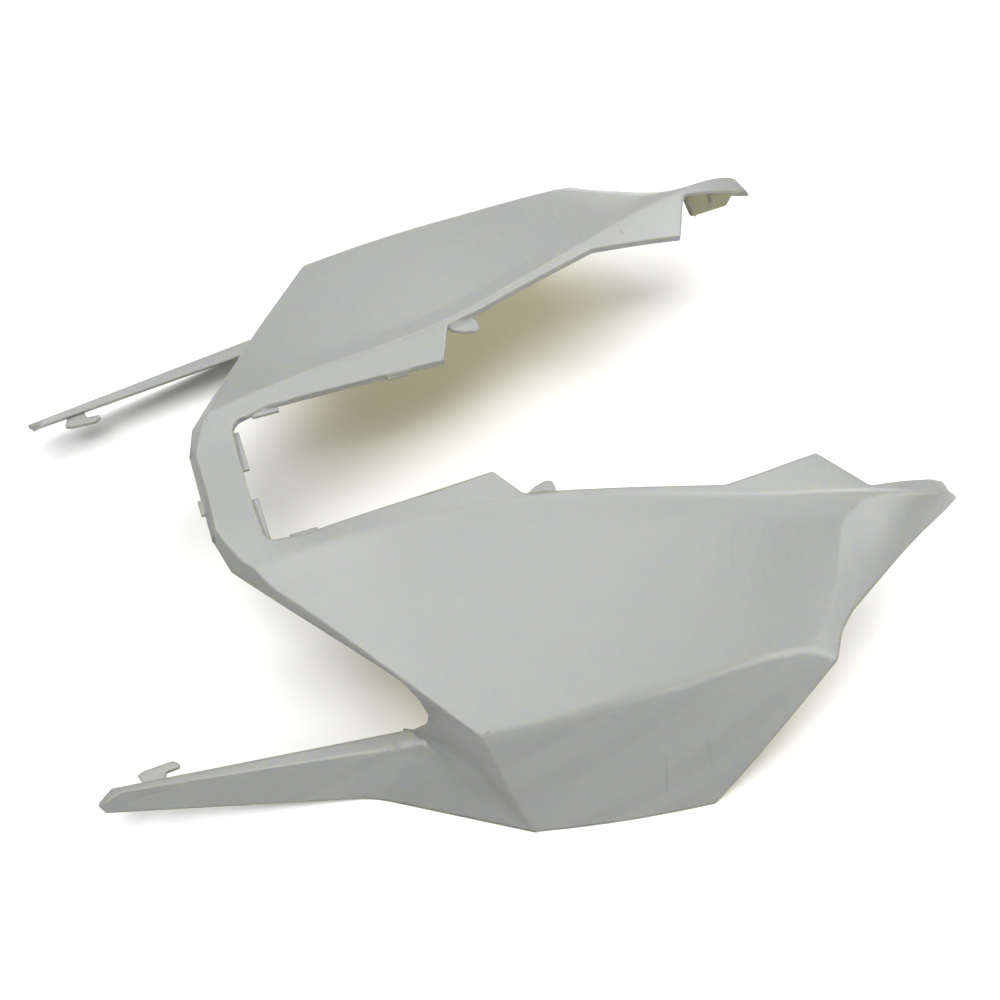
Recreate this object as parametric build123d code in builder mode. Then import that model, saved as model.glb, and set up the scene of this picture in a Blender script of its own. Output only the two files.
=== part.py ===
"""Tail fairing of a sport motorcycle: a one-piece moulded seat cowl, open in the middle for the seat
and open at the rear on both sides for the silencers. Millimetres, X forward, Y across, Z up."""
import os

from build123d import *

WALL = 2.6
LIP = 5.0
LIP_THICK = 2.2

# Limits that lie clear of the part
FLOOR = 0.0
DEEP = -30.0
SKIRT_LOW = -40.0
SKIRT_IN = 600.0
HIGH = 170.0
ROOF_Y = 310.0
FAR_X = 350.0

# Rail ridge and the soft valley beside it
RIDGE_R = 9.0
VALLEY_R = 45.0
VALLEY_STEP = 17.0

# Cross sections of the upper skin from tail to nose: x, height on the centre plane, ridge across,
# ridge height, drop to the valley, height at the outer limit of the section
ROOF = [
    (-215, 103.0, 66, 103.6, 6.6, 72.0),
    (-162, 97.0, 69, 99.0, 6.6, 54.0),
    (-109, 88.0, 72, 107.0, 6.6, 43.0),
    (-56, 88.0, 75, 109.8, 6.6, 43.0),
    (-3, 95.0, 81, 110.4, 6.6, 47.5),
    (50, 98.0, 95, 111.0, 6.6, 48.0),
    (103, 98.0, 113, 111.4, 6.6, 46.5),
    (156, 95.0, 132, 110.8, 6.4, 39.0),
    (209, 90.0, 148, 111.2, 6.0, 16.0),
    (262, 74.0, 162, 105.4, 5.0, 10.0),
    (315, 60.0, 166, 88.5, 5.0, 10.0),
]

# Lower side facet: x, distance across at floor level, lean (distance across gained for each unit down)
SIDE = [
    (-260, 215.0, 0.15),
    (-120, 240.0, 0.43),
    (20, 275.5, 0.695),
    (160, 290.0, 0.82),
    (300, 296.0, 0.75),
    (440, 296.0, 0.75),
]

# Front facet that twists into the outer face of the arm, taken at the height FRONT_Z
FRONT_Z = 80.0
FRONT = [
    (-230, 327.0, 1.75),
    (-160, 307.0, 1.75),
    (-90, 287.0, 1.75),
    (-20, 267.0, 1.75),
    (50, 247.0, 1.75),
    (120, 227.0, 1.75),
    (190, 204.6, 1.50),
    (260, 179.5, 0.60),
    (330, 148.0, -0.10),
]

# Return wall above the silencer outlet, taken along the rear crease at the height RETURN_Z:
# distance along the crease, distance outward, lean
RETURN_Z = 90.0
RETURN_BASE = Plane(origin=(-62, 218, 0), x_dir=(-0.797, 0.604, 0), z_dir=(0.604, 0.797, 0))
RETURN = [
    (-350, 1.5, 0.90),
    (-270, 1.5, 0.90),
    (-190, 1.5, 0.90),
    (-110, -1.8, 0.40),
    (-30, -1.6, 0.155),
    (50, -1.4, 0.145),
    (130, -1.4, 0.145),
    (210, -1.4, 0.145),
    (290, -1.4, 0.145),
]

# Bevels of the bridge: point on the plane and outward normal
REAR_PLANES = [
    ((-183.3, 0, 100), (-0.768, 0, 0.64)),
    ((-180.5, 42, 98.6), (-0.623, 0.263, 0.737)),
]

# Points on the creases that are rounded, for picking their edges
SOFT_CREASES = [(46, 227, 71), (199, 258, 43), (185, 205, 80)]
TIGHT_CREASES = [
    (-107, 156, 84),
    (-155, 86, 94),
    (-163, 76, 96),
    (-168, 70, 97),
    (-172, 67, 97),
    (-177, 57, 98),
    (-183, 20, 99.5),
    (-54, 240, 34),
]
SOFT_R = 14.0
TIGHT_R = 2.0

# Plan of the seat opening, one side, from the centre of the bridge to the nose, with corner radii
SEAT = [
    (-157, -8),
    (-154.5, 53),
    (-129, 57),
    (-64, 55),
    (2, 53),
    (14, 80),
    (38, 86),
    (143, 118.4),
    (172, 116.4),
    (214.7, 112.3),
    (234, 151),
    (282, 153),
    (310, 164),
]
SEAT_RADII = [9.0, 12.0, 60.0, 3.0, 4.0, 12.0, 16.0, 60.0, 1.5, 6.0, 12.0]
LIP_END_X = 236.0

# Side view of the silencer outlet: x and height round the part that is open
OUTLET = [
    (-330, 93.5),
    (-188, 93.5),
    (-182, 90),
    (-162, 87.5),
    (-109, 79.5),
    (-100, 78),
    (-92, 69.5),
    (-88, 57),
    (-90, 45),
    (-98, 31),
    (-104, 27),
]
OUTLET_RADII = [3.0, 3.0, 40.0, 12.0, 8.0, 14.0, 10.0, 14.0, 6.0]

# Side view of the front lower edge, from the floor to the top of the arm
PROW = [(75, 0), (172, 60), (183, 68), (195, 71), (302.7, 79), (289, 96), (277, 104)]
PROW_RADII = [14.0, 14.0, 20.0, 2.0, 5.0]

# Spike from the tip: points of its lower edge, ridge and flange edge, and the thickness there. The
# last two are where the flare starts and just inside the return wall
SPIKE = [
    ((-298.8, 165.3, 18.4), (-301, 163.4, 26.9), (-300.6, 160.4, 25.8), 2.4),
    ((-295, 166.2, 18.0), (-285, 161.2, 32.1), (-291, 155.5, 30.0), 2.6),
    ((-135.4, 204.4, 0), (-107, 190.6, 31.5), (-109, 178.7, 29.6), 3.2),
    ((-41.8, 263.0, 0), (-88.4, 193.6, 31.4), (-98.8, 180.0, 29.6), 4.6),
]
# Soft crease where the flare starts
FLARE_CREASE = (-121, 197.5, 15.8)
FLARE_R = 60.0

# Plans of the hook on the spike and of the lug on the rail
HOOK = [
    (-271.8, 166.5),
    (-271.8, 157.5),
    (-274.2, 151.3),
    (-269.3, 149.6),
    (-250.9, 148.9),
    (-246.9, 152.2),
    (-247.8, 154.4),
    (-256.5, 155),
    (-258, 159.6),
    (-258, 168.5),
]
HOOK_RADII = [0.8, 1.0, 1.0, 1.0, 1.0, 0.8, 1.0, 1.0]
HOOK_Z = 25.2
HOOK_THICK = 2.8
LUG = [(16, 94), (16, 79), (24, 74.4), (32.5, 72), (37, 73.6), (37, 80), (35.5, 94)]
LUG_RADII = [3.0, 14.0, 3.0, 2.0, 8.0]
LUG_Z = 102.2
LUG_THICK = 3.0

# Hanging plate of the arm in side view, and its ribs
PLATE_Y = 154.6
PLATE_THICK = 2.2
PLATE = [(233, 108), (245.5, 79), (277, 81.5), (279.5, 88), (283, 99), (270, 108)]
PLATE_RADII = [4.0, 3.0, 6.0, 2.0]
RIBS = [((238, 101), (247.5, 82)), ((259, 99.5), (262, 90))]
RIB_DEEP = 4.0
RIB_THICK = 1.6

# Clips: centre, length, width, height
CLIPS = [
    (-130, 56.5, 97.6, 19, 8, 2.4),
    (-33, 55.5, 99.8, 15, 6, 2.4),
    (-154.5, 30, 92.6, 6, 34, 2.2),
]

# Locating tab on the rear edge
TAB_X = -188.5
TAB_Y = -10.0
TAB_Z = 95.0
TAB_LONG = 5.0
TAB_WIDE = 12.0
TAB_DEEP = 2.4


def roof_form(inset, floor):
    """Solid under the upper skin, lowered by the inset."""
    with BuildPart() as form:
        for x, centre_z, ridge_y, ridge_z, drop, outer_z in ROOF:
            with BuildSketch(Plane.YZ.offset(x)):
                with BuildLine():
                    top = FilletPolyline(
                        (0, centre_z - inset),
                        (ridge_y, ridge_z - inset),
                        (ridge_y + VALLEY_STEP, ridge_z - drop - inset),
                        (ROOF_Y, outer_z - inset),
                        radius=[RIDGE_R, VALLEY_R],
                    )
                    Polyline(top @ 1, (ROOF_Y, floor), (0, floor), top @ 0)
                make_face()
        loft()
    return form.part


def skirt_form(base, stations, level, inset):
    """Solid inside a leaning skirt surface that runs along the normal of the base plane."""
    with BuildPart() as form:
        for along, across, lean in stations:
            edge = across - inset * (1 + lean * lean) ** 0.5
            with BuildSketch(base.offset(along)):
                with BuildLine():
                    Polyline(
                        (-SKIRT_IN, SKIRT_LOW),
                        (edge + (level - SKIRT_LOW) * lean, SKIRT_LOW),
                        (edge + (level - HIGH) * lean, HIGH),
                        (-SKIRT_IN, HIGH),
                        close=True,
                    )
                make_face()
        loft()
    return form.part


def body_form(inset, floor):
    """One side of the closed form; the inset makes the cavity that leaves the wall."""
    with BuildPart() as form:
        add(roof_form(inset, floor))
        add(skirt_form(Plane.YZ, SIDE, FLOOR, inset), mode=Mode.INTERSECT)
        add(skirt_form(Plane.YZ, FRONT, FRONT_Z, inset), mode=Mode.INTERSECT)
        add(skirt_form(RETURN_BASE, RETURN, RETURN_Z, inset), mode=Mode.INTERSECT)
        for point, normal in REAR_PLANES:
            face = Plane(origin=point, z_dir=normal)
            split(bisect_by=face.offset(-inset), keep=Keep.BOTTOM)
    return form.part


def near_edges(shape, points):
    """Edges of the shape that pass closest to the points."""
    return [shape.edges().sort_by_distance(Vector(*point))[0] for point in points]


def strip_plane(lower, ridge, flange):
    """Plane through the three points of a bent strip, seen towards its tip."""
    low, top, edge = Vector(*lower), Vector(*ridge), Vector(*flange)
    return Plane(origin=top, x_dir=low - top, z_dir=(edge - top).cross(low - top))


def angle_section(low, top, edge, thick):
    """Corners of a bent strip of even thickness, seen along its length."""
    web = (low - top).normalized()
    leaf = (edge - top).normalized()
    web_in = Vector(web.Y, -web.X)
    leaf_in = Vector(-leaf.Y, leaf.X)
    bend = top + (web_in + leaf_in) * (thick / (1 + web_in.dot(leaf_in)))
    return [low, top, edge, edge + leaf_in * thick, bend, low + web_in * thick]


def seat_plan():
    """Plan of the seat opening, run on past the nose and the centre plane."""
    with BuildSketch() as plan:
        with BuildLine():
            rim = FilletPolyline(*SEAT, radius=SEAT_RADII)
            Polyline(rim @ 1, (FAR_X, SEAT[-1][1]), (FAR_X, SEAT[0][1]), rim @ 0)
        make_face()
    return plan.sketch


outer_form = body_form(0, FLOOR)
seat_face = seat_plan()

with BuildPart() as shell:
    add(outer_form)
    fillet(near_edges(shell.part, SOFT_CREASES), SOFT_R)
    fillet(near_edges(shell.part, TIGHT_CREASES), TIGHT_R)
    add(body_form(WALL, DEEP), mode=Mode.SUBTRACT)

# Turned-down lip round the seat opening, following the upper skin
with BuildPart() as rim_lip:
    add(outer_form)
    add(body_form(LIP, DEEP), mode=Mode.SUBTRACT)
    with BuildSketch(Plane.XY.offset(DEEP)):
        add(seat_face)
        offset(amount=LIP_THICK)
    extrude(amount=HIGH - DEEP, mode=Mode.INTERSECT)
    split(bisect_by=Plane.YZ.offset(LIP_END_X), keep=Keep.BOTTOM)

# Spike: bent strip that flares into the return wall
with BuildPart() as spike:
    for lower, ridge, flange, thick in SPIKE:
        base = strip_plane(lower, ridge, flange)
        points = [base.to_local_coords(Vector(*point)) for point in (lower, ridge, flange)]
        with BuildSketch(base):
            with BuildLine():
                Polyline(*angle_section(*points, thick), close=True)
            make_face()
    loft(ruled=True)
    split(bisect_by=Plane.XY, keep=Keep.TOP)
    fillet(near_edges(spike.part, [FLARE_CREASE]), FLARE_R)

# Hanging plate with ribs under the arm, trimmed to the upper skin
with BuildPart() as plate:
    with BuildSketch(Plane.XZ.offset(-PLATE_Y)):
        with BuildLine():
            hang = FilletPolyline(*PLATE, radius=PLATE_RADII)
            Line(hang @ 1, hang @ 0)
        make_face()
    extrude(amount=-PLATE_THICK)
    for (x_top, z_top), (x_low, z_low) in RIBS:
        with BuildSketch(Plane.XZ.offset(-PLATE_Y)):
            with BuildLine():
                Polyline(
                    (x_top, z_top),
                    (x_top + RIB_THICK, z_top),
                    (x_low + RIB_THICK, z_low),
                    (x_low, z_low),
                    close=True,
                )
            make_face()
        extrude(amount=RIB_DEEP)
    add(outer_form, mode=Mode.INTERSECT)

with BuildPart() as half:
    add(shell.part)
    add(rim_lip.part)
    # Seat opening
    with BuildSketch(Plane.XY.offset(DEEP)):
        add(seat_face)
    extrude(amount=HIGH - DEEP, mode=Mode.SUBTRACT)
    # Silencer outlet
    with BuildSketch(Plane.XZ):
        with BuildLine():
            outlet = FilletPolyline(*OUTLET, radius=OUTLET_RADII)
            Polyline(outlet @ 1, (OUTLET[-1][0], DEEP), (OUTLET[0][0], DEEP), outlet @ 0)
        make_face()
    extrude(amount=-ROOF_Y, mode=Mode.SUBTRACT)
    # Front lower edge and end of the arm
    with BuildSketch(Plane.XZ):
        with BuildLine():
            prow = FilletPolyline(*PROW, radius=PROW_RADII)
            Polyline(
                prow @ 1,
                (PROW[-1][0], HIGH),
                (FAR_X, HIGH),
                (FAR_X, DEEP),
                (PROW[0][0], DEEP),
                prow @ 0,
            )
        make_face()
    extrude(amount=-ROOF_Y, mode=Mode.SUBTRACT)
    add(plate.part)
    add(spike.part)
    # Hook on the spike
    with BuildSketch(Plane.XY.offset(HOOK_Z)):
        with BuildLine():
            hook = FilletPolyline(*HOOK, radius=HOOK_RADII)
            Line(hook @ 1, hook @ 0)
        make_face()
    extrude(amount=HOOK_THICK)
    # Lug on the rail
    with BuildSketch(Plane.XY.offset(LUG_Z)):
        with BuildLine():
            lug = FilletPolyline(*LUG, radius=LUG_RADII)
            Line(lug @ 1, lug @ 0)
        make_face()
    extrude(amount=LUG_THICK)
    # Clips under the rail and under the front edge of the bridge
    for x, y, z, long, wide, deep in CLIPS:
        with Locations((x, y, z)):
            Box(long, wide, deep)

with BuildPart() as tail_fairing:
    add(half.part)
    mirror(half.part, about=Plane.XZ)
    # Locating tab on the rear edge of the bridge
    with Locations((TAB_X, TAB_Y, TAB_Z)):
        Box(TAB_LONG, TAB_WIDE, TAB_DEEP)

tail_fairing.part.label = "tail_fairing"
os.makedirs("parts", exist_ok=True)
export_step(tail_fairing.part, "parts/tail_fairing.step")
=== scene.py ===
import math

import bpy
from mathutils import Matrix, Vector


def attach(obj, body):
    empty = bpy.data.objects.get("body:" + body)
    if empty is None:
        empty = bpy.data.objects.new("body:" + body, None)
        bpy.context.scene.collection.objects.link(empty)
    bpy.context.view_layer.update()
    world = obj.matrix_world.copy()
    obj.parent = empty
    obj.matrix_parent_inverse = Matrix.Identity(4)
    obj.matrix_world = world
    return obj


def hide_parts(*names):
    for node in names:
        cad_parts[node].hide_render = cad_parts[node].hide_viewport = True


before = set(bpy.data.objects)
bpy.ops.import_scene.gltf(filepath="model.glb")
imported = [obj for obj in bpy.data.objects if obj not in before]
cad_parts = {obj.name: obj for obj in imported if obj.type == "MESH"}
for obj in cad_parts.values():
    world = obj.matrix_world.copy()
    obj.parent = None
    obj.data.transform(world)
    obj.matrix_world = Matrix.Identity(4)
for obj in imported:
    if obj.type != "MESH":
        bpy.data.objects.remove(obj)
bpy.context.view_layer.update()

# Lengths are in metres in the part's frame. What is given for the left side is mirrored to the right.

# Camera: its place, and the picture's directions to the right and up
CAMERA_PLACE = (-0.1683, -0.5467, 0.8092)
CAMERA_RIGHT = (0.942, -0.335, 0.0)
CAMERA_UP = (0.273, 0.769, 0.578)
LENS_MM = 46.8
SENSOR_MM = 36.0

# Moulding: how its surface is welded, and shaded between its edges
LEFT, RIGHT = 1.0, -1.0
WELD = 1e-6
TINY_EDGE = 1e-4
SMOOTH_ANGLE = math.radians(22)
EVEN_WEIGHT = 60

# Inner face: it looks inwards and down on the left side, and leaves out the rim, the arms and the spikes
INWARD = (0.1, -0.6, -1.0)
INWARD_LEAST = 0.25
RIM_HEIGHT = 0.08
RIM_TILT = -0.5
ARM_START = 0.2
SPIKE_START = -0.11

# Hanging plate of the left arm, where painted shade goes: its reach along the part and across it
PLATE_SPAN = (0.232, 0.283)
PLATE_WALL = (0.1541, 0.1573)
PLATE_FACING = 0.9

# Crease between the left return wall and the flared root of its spike, and the two faces' normals
COVE_FOOT = (-0.0441, 0.2605, 0.0008)
COVE_HEAD = (-0.0907, 0.1932, 0.0314)
COVE_BOW = (0.0008, -0.0004, 0.0004)
COVE_WALL = (-0.79, 0.60, 0.14)
COVE_ROOT = (-0.30, 0.55, 0.78)

# Faces beside the crease: their facing, their shares of the way along it, and their distance
COVE_FACING = 0.9
COVE_SPAN = (-0.05, 0.99)
COVE_FIELD = 0.022

# Hollow in the crease: its reach to each side, its cuts, and the shares of the way where it tapers
COVE_REACH = 0.015
COVE_CUTS_ALONG = 12
COVE_CUTS_ACROSS = 6
COVE_FOOT_TAPER = 0.7
COVE_HEAD_TAPER = 0.25
COVE_END = 0.98

# Light: even light from all round, and softboxes by name, with place, size and power
SKY = 0.02
AIM = (0.0, 0.0, 0.05)
SOFTBOXES = {
    "overhead": ((0.0, 0.0, 2.0), (1.4, 1.2), 17.0),
    "high_left_near": ((-0.6, -0.6, 2.0), (0.9, 0.9), 14.0),
    "high_left": ((-1.1, -0.2, 1.9), (0.9, 0.9), 6.0),
    "left": ((-1.1, 0.4, 1.8), (0.9, 1.2), 9.0),
    "left_rear": ((-0.55, 1.15, 1.8), (1.0, 1.0), 11.5),
    "right_rear": ((1.15, 0.55, 1.8), (1.0, 1.0), 25.0),
    "rear": ((0.6, 1.7, 1.2), (1.4, 1.0), 12.0),
    "right_near": ((0.95, -1.4, 1.0), (1.0, 1.0), 21.0),
    "near_low": ((-0.5, -1.9, 0.5), (1.4, 0.6), 5.0),
}

# Floor
FLOOR_SIZE = 12.0
FLOOR_HEIGHT = -0.0002
FLOOR_COLOUR = (0.72, 0.72, 0.72, 1.0)
FLOOR_ROUGHNESS = 0.8

WHITE = (1.0, 1.0, 1.0, 1.0)
BLACK = (0.0, 0.0, 0.0, 1.0)

# Finishes of the pale unpainted plastic: colour, roughness and depth of scattering. The arm plate's colour is
# painted shade, darker and more olive than the plastic
FINISHES = {
    "pale_moulded_plastic": ((0.254, 0.261, 0.252), 0.34, 0.002),
    "pale_plastic_inner_face": ((0.66, 0.61, 0.24), 0.5, 0.014),
    # Painted shade: the arm plate is coloured darker and more olive, as it looks in the shade under the arm
    "arm_plate_painted_shade": ((0.204, 0.208, 0.114), 0.34, 0.002),
}
OUTER, INNER, PAINTED_SHADE_PLATE = range(len(FINISHES))
SCATTER_WEIGHT = 0.85
SCATTER_RADIUS = (1.0, 0.85, 0.04)
EDGE_ROUND = 0.0026
EDGE_SAMPLES = 8
SKIN_STRENGTH = 0.06
SKIN_DEPTH = 0.0004

# Clouds in the colour and flecks in the gloss: their scales, and how far they go
CLOUD_SCALE = 9.0
CLOUD_RANGE = (0.965, 1.02)
FLECK_SCALE = 160.0
FLECK_RANGE = (-0.04, 0.06)

# Flow marks of the left side: rings round a centre that fade about a patch, and streaks on steep facets
RING_CENTRE = (0.1812, 0.1797, 0.0934)
RING_STEP = 0.0092
RING_CREST = (0.55, 1.0)
RING_PATCH = (0.147, 0.169, 0.0955)
RING_FADE = (0.046, 0.016)
RING_DARKENING = 0.028
STREAK_RISE = math.radians(17.8)
STREAK_SIZE = (0.4, 0.4, 0.011)
STREAK_BAND = (0.4, 0.6)
STREAK_SLOPE = (0.85, 0.65)
STREAK_DARKENING = 0.06

# Dust specks, one to a cell, and scuffs: start, end, half width and darkening
SPECK_SCALE = 32.0
SPECK_EDGE = (0.05, 0.02)
SPECK_DARKENING = 0.13
SCUFFS = [
    ((0.0484, -0.2551, 0.0338), (0.0449, -0.2699, 0.0131), 0.0014, 0.09),
    ((0.0771, -0.2538, 0.0387), (0.0766, -0.2659, 0.0229), 0.0018, 0.07),
    ((-0.0594, -0.2163, 0.0685), (-0.0585, -0.2158, 0.0686), 0.0016, 0.3),
    ((0.1707, 0.1292, 0.1100), (0.1715, 0.1256, 0.1095), 0.0009, 0.35),
    ((0.1704, 0.1362, 0.1107), (0.1708, 0.1324, 0.1104), 0.0009, 0.15),
    ((0.1399, 0.1395, 0.1059), (0.1395, 0.1337, 0.1081), 0.0010, 0.15),
    ((0.1414, 0.1341, 0.1081), (0.1408, 0.1277, 0.1104), 0.0009, 0.12),
    ((0.1499, 0.1318, 0.1101), (0.1502, 0.1277, 0.1105), 0.0009, 0.10),
]


def deselect():
    bpy.ops.object.select_all(action="DESELECT")


def mirrored(place, side):
    """A place or direction of the left side, on the side that is asked for."""
    return Vector((place[0], place[1] * side, place[2]))


def group_output(group, name):
    group.interface.new_socket(name=name, in_out="OUTPUT", socket_type="NodeSocketFloat")


def group_input(group, name, value):
    kind = "NodeSocketFloat" if isinstance(value, float) else "NodeSocketVector"
    socket = group.interface.new_socket(name=name, in_out="INPUT", socket_type=kind)
    socket.default_value = value


def feed(tree, made, inputs):
    """Link each named input of a node to a socket, or set it to a value."""
    for key, value in inputs.items():
        if isinstance(value, bpy.types.NodeSocket):
            tree.links.new(value, made.inputs[key])
        else:
            made.inputs[key].default_value = value


def node(tree, kind, inputs=None, **settings):
    """A shader node with its settings and inputs."""
    made = tree.nodes.new(kind)
    for key, value in settings.items():
        setattr(made, key, value)
    feed(tree, made, inputs or {})
    return made


def number(tree, operation, *inputs, **settings):
    """The number that a Math node gives."""
    made = node(tree, "ShaderNodeMath", dict(enumerate(inputs)), operation=operation, **settings)
    return made.outputs["Value"]


def vector(tree, operation, inputs, output):
    """What a Vector Math node gives: a vector, or a number as a value."""
    return node(tree, "ShaderNodeVectorMath", inputs, operation=operation).outputs[output]


def ramp(tree, value, start, end, **settings):
    """A value's way from start to end, as 0 to 1."""
    inputs = {"Value": value, "From Min": start, "From Max": end}
    return node(tree, "ShaderNodeMapRange", inputs, **settings).outputs["Result"]


def object_place(tree):
    return node(tree, "ShaderNodeTexCoord").outputs["Object"]


def left_place(tree):
    """Object coordinates with both sides of the part laid on its left side."""
    split = node(tree, "ShaderNodeSeparateXYZ", {"Vector": object_place(tree)}).outputs
    left = number(tree, "ABSOLUTE", split["Y"])
    return node(tree, "ShaderNodeCombineXYZ", {"X": split["X"], "Y": left, "Z": split["Z"]}).outputs["Vector"]


def mottle_group():
    """Cloudy unevenness of pale moulded plastic: broad clouds, and small flecks."""
    tree = bpy.data.node_groups.new("moulded_mottle", "ShaderNodeTree")
    group_input(tree, "Cloud scale", CLOUD_SCALE)
    group_input(tree, "Fleck scale", FLECK_SCALE)
    group_output(tree, "Clouds")
    group_output(tree, "Flecks")
    scales = node(tree, "NodeGroupInput").outputs
    cloudy = {"Scale": scales["Cloud scale"], "Detail": 3.0, "Roughness": 0.55, "Distortion": 0.3}
    clouds = node(tree, "ShaderNodeTexNoise", {"Vector": object_place(tree), **cloudy})
    flecked = {"Scale": scales["Fleck scale"], "Detail": 2.0, "Roughness": 0.6}
    flecks = node(tree, "ShaderNodeTexNoise", {"Vector": object_place(tree), **flecked})
    node(tree, "NodeGroupOutput", {"Clouds": clouds.outputs["Fac"], "Flecks": flecks.outputs["Fac"]})
    return tree


def flow_group():
    """Marks of the melt's flow: faint rings on the side panels, streaks along the lower facets."""
    tree = bpy.data.node_groups.new("flow_marks", "ShaderNodeTree")
    group_output(tree, "Rings")
    group_output(tree, "Streaks")
    place = left_place(tree)
    radius = vector(tree, "DISTANCE", {0: place, 1: RING_CENTRE}, "Value")
    turns = number(tree, "MULTIPLY", radius, 2 * math.pi / RING_STEP)
    crests = ramp(tree, number(tree, "COSINE", turns), *RING_CREST)
    gap = vector(tree, "DISTANCE", {0: place, 1: RING_PATCH}, "Value")
    fade = ramp(tree, gap, *RING_FADE, interpolation_type="SMOOTHSTEP")
    rings = number(tree, "MULTIPLY", crests, fade)
    laid = {"Vector": place, "Rotation": (0.0, -STREAK_RISE, 0.0), "Scale": STREAK_SIZE}
    lay = node(tree, "ShaderNodeMapping", laid, vector_type="TEXTURE").outputs["Vector"]
    grain = node(tree, "ShaderNodeTexNoise", {"Vector": lay, "Scale": 1.0, "Detail": 2.0, "Roughness": 0.5})
    bands = ramp(tree, grain.outputs["Fac"], *STREAK_BAND)
    facing = node(tree, "ShaderNodeNewGeometry").outputs["Normal"]
    slope = node(tree, "ShaderNodeSeparateXYZ", {"Vector": facing}).outputs["Z"]
    streaks = number(tree, "MULTIPLY", bands, ramp(tree, slope, *STREAK_SLOPE))
    node(tree, "NodeGroupOutput", {"Rings": rings, "Streaks": streaks})
    return tree


def speck_group():
    """Sparse dark specks of dust moulded into the surface, some fainter than others."""
    tree = bpy.data.node_groups.new("dust_specks", "ShaderNodeTree")
    group_output(tree, "Specks")
    cells = node(tree, "ShaderNodeTexVoronoi", {"Vector": object_place(tree), "Scale": SPECK_SCALE}).outputs
    dots = ramp(tree, cells["Distance"], *SPECK_EDGE)
    share = node(tree, "ShaderNodeSeparateColor", {"Color": cells["Color"]}).outputs["Red"]
    node(tree, "NodeGroupOutput", {"Specks": number(tree, "MULTIPLY", dots, share)})
    return tree


def scuff_group():
    """One short scuff between two places of the surface."""
    tree = bpy.data.node_groups.new("scuff", "ShaderNodeTree")
    group_input(tree, "Start", (0.0, 0.0, 0.0))
    group_input(tree, "End", (0.0, 0.0, 0.0))
    group_input(tree, "Half width", 0.001)
    group_output(tree, "Scuff")
    ends = node(tree, "NodeGroupInput").outputs
    run = vector(tree, "SUBTRACT", {0: ends["End"], 1: ends["Start"]}, "Vector")
    here = vector(tree, "SUBTRACT", {0: object_place(tree), 1: ends["Start"]}, "Vector")
    way = vector(tree, "DOT_PRODUCT", {0: here, 1: run}, "Value")
    whole = vector(tree, "DOT_PRODUCT", {0: run, 1: run}, "Value")
    share = number(tree, "DIVIDE", way, whole, use_clamp=True)
    nearest = vector(tree, "SCALE", {0: run, "Scale": share}, "Vector")
    gap = vector(tree, "DISTANCE", {0: here, 1: nearest}, "Value")
    mark = ramp(tree, gap, ends["Half width"], 0.0, interpolation_type="SMOOTHSTEP")
    node(tree, "NodeGroupOutput", {"Scuff": mark})
    return tree


def wear(tree, flow, specks, scuff):
    """Share by which flow marks, specks and scuffs darken the plastic."""
    marks = node(tree, "ShaderNodeGroup", node_tree=flow).outputs
    dust = node(tree, "ShaderNodeGroup", node_tree=specks).outputs
    parts = [
        (marks["Rings"], RING_DARKENING),
        (marks["Streaks"], STREAK_DARKENING),
        (dust["Specks"], SPECK_DARKENING),
    ]
    for start, end, half_width, darkening in SCUFFS:
        line = {"Start": start, "End": end, "Half width": half_width}
        parts.append((node(tree, "ShaderNodeGroup", line, node_tree=scuff).outputs["Scuff"], darkening))
    total = 0.0
    for mask, darkening in parts:
        total = number(tree, "MULTIPLY_ADD", mask, darkening, total)
    return total


def plastic(name, colour, roughness, depth, mottle, flow, specks, scuff):
    """Pale satin plastic with clouds in its colour, flecks in its gloss, flow marks and a little wear."""
    made = bpy.data.materials.new(name)
    made.use_nodes = True
    tree = made.node_tree
    clouds, flecks = node(tree, "ShaderNodeGroup", node_tree=mottle).outputs
    dark, pale = ((*[c * share for c in colour], 1.0) for share in CLOUD_RANGE)
    tone = node(tree, "ShaderNodeMix", {"Factor": clouds, "A": dark, "B": pale}, data_type="RGBA")
    darkened = {"Factor": wear(tree, flow, specks, scuff), "A": tone.outputs["Result"], "B": BLACK}
    worn = node(tree, "ShaderNodeMix", darkened, data_type="RGBA", blend_type="MULTIPLY")
    low, high = (roughness + change for change in FLECK_RANGE)
    gloss = node(tree, "ShaderNodeMapRange", {"Value": flecks, "To Min": low, "To Max": high})
    edges = node(tree, "ShaderNodeBevel", {"Radius": EDGE_ROUND}, samples=EDGE_SAMPLES).outputs["Normal"]
    uneven = {"Strength": SKIN_STRENGTH, "Distance": SKIN_DEPTH, "Height": flecks, "Normal": edges}
    skin = node(tree, "ShaderNodeBump", uneven)
    finish = {
        "Base Color": worn.outputs["Result"],
        "Roughness": gloss.outputs["Result"],
        "Normal": skin.outputs["Normal"],
        "Subsurface Weight": SCATTER_WEIGHT,
        "Subsurface Radius": SCATTER_RADIUS,
        "Subsurface Scale": depth,
    }
    feed(tree, tree.nodes["Principled BSDF"], finish)
    return made


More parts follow.
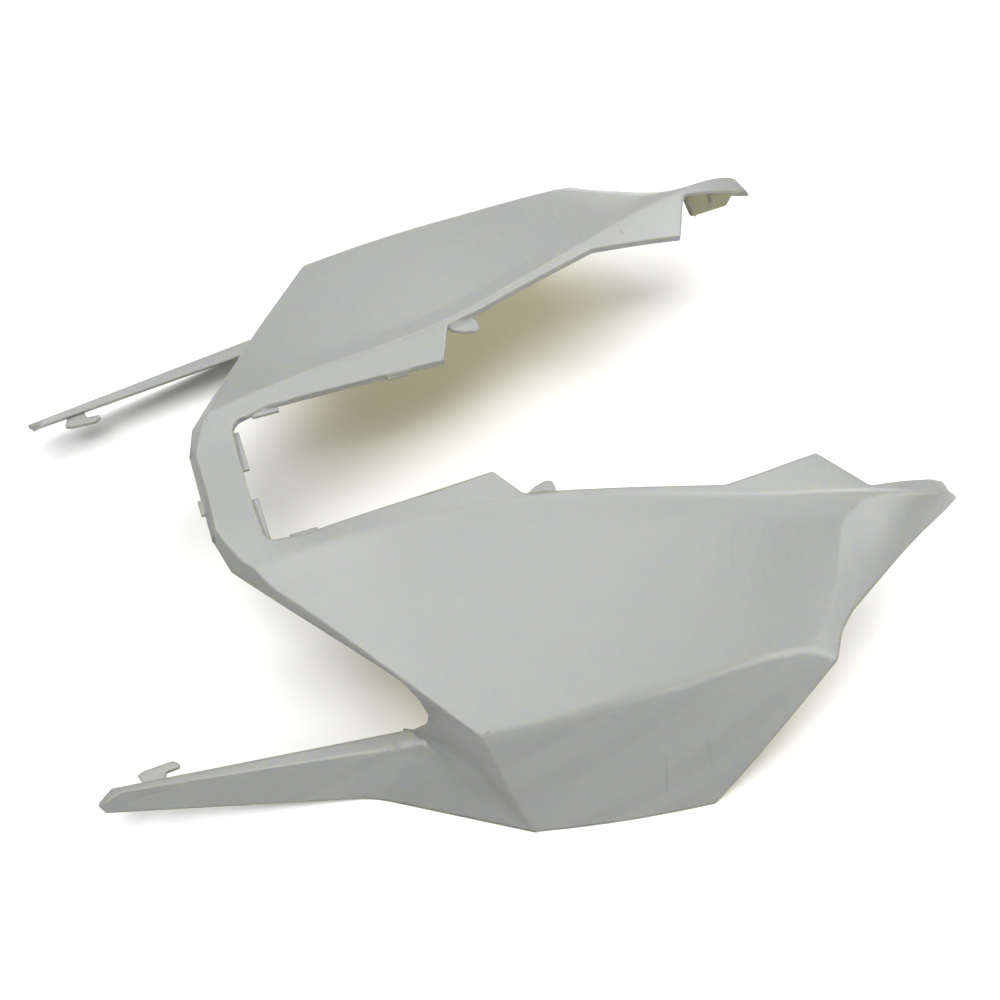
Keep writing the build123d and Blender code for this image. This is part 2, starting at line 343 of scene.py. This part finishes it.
def cove(piece, side):
    """Soften the crease between a return wall and the flared root of its spike to a hollow."""
    foot, head, bow = (mirrored(place, side) for place in (COVE_FOOT, COVE_HEAD, COVE_BOW))
    wall, root = (mirrored(normal, side).normalized() for normal in (COVE_WALL, COVE_ROOT))
    along = (head - foot).normalized()
    length = (head - foot).length

    def from_crease(point):
        """Share of the way along the crease, and the distance from it."""
        share = (point - foot).dot(along) / length
        nearest = foot + along * share * length + bow * 4 * share * (1 - share)
        return share, (point - nearest).length

    def is_beside(face):
        facing = max(face.normal.dot(wall), face.normal.dot(root)) > COVE_FACING
        corners = [from_crease(piece.data.vertices[i].co) for i in face.vertices]
        first, last = COVE_SPAN
        return facing and any(first < share < last and gap < COVE_FIELD for share, gap in corners)

    for face in piece.data.polygons:
        face.select = is_beside(face)
    bpy.ops.object.mode_set(mode="EDIT")
    bpy.ops.mesh.hide(unselected=True)
    cuts = [(foot + along * length * step / COVE_CUTS_ALONG, along) for step in range(1, COVE_CUTS_ALONG)]
    for normal, other in ((wall, root), (root, wall)):
        across = along.cross(normal)
        across = across if across.dot(other) > 0 else -across
        for step in range(1, COVE_CUTS_ACROSS + 1):
            cuts.append((foot + across * COVE_REACH * step / COVE_CUTS_ACROSS, across))
    for place, normal in cuts:
        bpy.ops.mesh.select_all(action="SELECT")
        bpy.ops.mesh.bisect(plane_co=place, plane_no=normal)
    bpy.ops.mesh.select_all(action="SELECT")
    bpy.ops.object.mode_set(mode="OBJECT")
    # The hollow is a parabola that meets both faces without a crease
    push = (wall + root).normalized() * 2 * math.sin(wall.angle(root) / 2)
    for vertex in piece.data.vertices:
        if vertex.select and not vertex.hide:
            share, gap = from_crease(vertex.co)
            taper = min(1.0, share / COVE_FOOT_TAPER, (COVE_END - share) / COVE_HEAD_TAPER)
            reach = COVE_REACH * max(0.0, taper)
            if gap < reach:
                vertex.co += push * reach * ((1 - gap / reach) / 2) ** 2
    bpy.ops.object.mode_set(mode="EDIT")
    bpy.ops.mesh.reveal(select=False)
    bpy.ops.mesh.select_all(action="DESELECT")
    bpy.ops.object.mode_set(mode="OBJECT")


def finish_of(face):
    """Which finish a face has: the arm plate's painted shade, the inner face's or the outer one."""
    side = LEFT if face.center.y > 0 else RIGHT
    x, y, z = mirrored(face.center, side)
    on_painted_shade_plate = PLATE_SPAN[0] < x < PLATE_SPAN[1] and PLATE_WALL[0] < y < PLATE_WALL[1]
    # Painted shade: the plate's faces under the arm get the darker olive colour
    if on_painted_shade_plate and abs(face.normal.y) > PLATE_FACING:
        return PAINTED_SHADE_PLATE
    inward = face.normal.dot(mirrored(INWARD, side).normalized()) > INWARD_LEAST
    rim = z > RIM_HEIGHT and face.normal.z > RIM_TILT
    arm = x > ARM_START
    spike = x < SPIKE_START
    return INNER if inward and not (rim or arm or spike) else OUTER


def moulding(finishes):
    """The moulding itself: the solid's own surface, welded and shaded smooth between its edges."""
    deselect()
    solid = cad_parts["tail_fairing"]
    solid.select_set(True)
    bpy.context.view_layer.objects.active = solid
    bpy.ops.object.duplicate()
    piece = bpy.context.view_layer.objects.active
    piece.name = "tail_cowl"
    piece.data.name = "tail_cowl"
    piece.data.materials.clear()
    for finish in finishes:
        piece.data.materials.append(finish)
    bpy.ops.object.mode_set(mode="EDIT")
    bpy.ops.mesh.select_all(action="SELECT")
    bpy.ops.mesh.remove_doubles(threshold=WELD)
    bpy.ops.mesh.dissolve_degenerate(threshold=TINY_EDGE)
    bpy.ops.mesh.select_mode(type="FACE")
    bpy.ops.mesh.select_all(action="DESELECT")
    bpy.ops.object.mode_set(mode="OBJECT")
    cove(piece, LEFT)
    cove(piece, RIGHT)
    bpy.ops.object.mode_set(mode="EDIT")
    bpy.ops.mesh.select_all(action="SELECT")
    bpy.ops.mesh.quads_convert_to_tris()
    bpy.ops.mesh.select_all(action="DESELECT")
    bpy.ops.object.mode_set(mode="OBJECT")
    for face in piece.data.polygons:
        face.material_index = finish_of(face)
    bpy.ops.object.shade_smooth_by_angle(angle=SMOOTH_ANGLE)
    even = piece.modifiers.new("even_shading", "WEIGHTED_NORMAL")
    even.mode = "FACE_AREA_WITH_ANGLE"
    even.weight = EVEN_WEIGHT
    even.keep_sharp = True
    bpy.ops.object.modifier_apply(modifier=even.name)
    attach(piece, "root")
    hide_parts("tail_fairing")


def camera():
    data = bpy.data.cameras.new("camera")
    data.lens = LENS_MM
    data.sensor_width = SENSOR_MM
    data.sensor_fit = "HORIZONTAL"
    eye = bpy.data.objects.new("camera", data)
    bpy.context.scene.collection.objects.link(eye)
    right = Vector(CAMERA_RIGHT).normalized()
    back = right.cross(Vector(CAMERA_UP).normalized()).normalized()
    up = back.cross(right)
    turn = Matrix((right, up, back)).transposed().to_4x4()
    eye.matrix_world = Matrix.Translation(CAMERA_PLACE) @ turn
    bpy.context.scene.camera = eye


def softbox(name, place, size, power):
    data = bpy.data.lights.new(name, "AREA")
    data.shape = "RECTANGLE"
    data.size, data.size_y = size
    data.energy = power
    lamp = bpy.data.objects.new(name, data)
    bpy.context.scene.collection.objects.link(lamp)
    lamp.location = place
    lamp.rotation_euler = (Vector(AIM) - Vector(place)).to_track_quat("-Z", "Y").to_euler()


def floor():
    deselect()
    bpy.ops.mesh.primitive_plane_add(size=FLOOR_SIZE, location=(0.0, 0.0, FLOOR_HEIGHT))
    sheet = bpy.context.view_layer.objects.active
    sheet.name = "floor"
    paint = bpy.data.materials.new("pale_floor")
    paint.use_nodes = True
    tree = paint.node_tree
    even = {"Base Color": FLOOR_COLOUR, "Roughness": FLOOR_ROUGHNESS}
    feed(tree, tree.nodes["Principled BSDF"], even)
    sheet.data.materials.append(paint)


def light():
    world = bpy.data.worlds.new("studio")
    bpy.context.scene.world = world
    world.use_nodes = True
    tree = world.node_tree
    feed(tree, tree.nodes["Background"], {"Color": WHITE, "Strength": SKY})
    for name, (place, size, power) in SOFTBOXES.items():
        softbox(name, place, size, power)


camera()
effects = (mottle_group(), flow_group(), speck_group(), scuff_group())
moulding([plastic(name, *values, *effects) for name, values in FINISHES.items()])
floor()
light()
bpy.context.scene.view_settings.view_transform = "Standard"
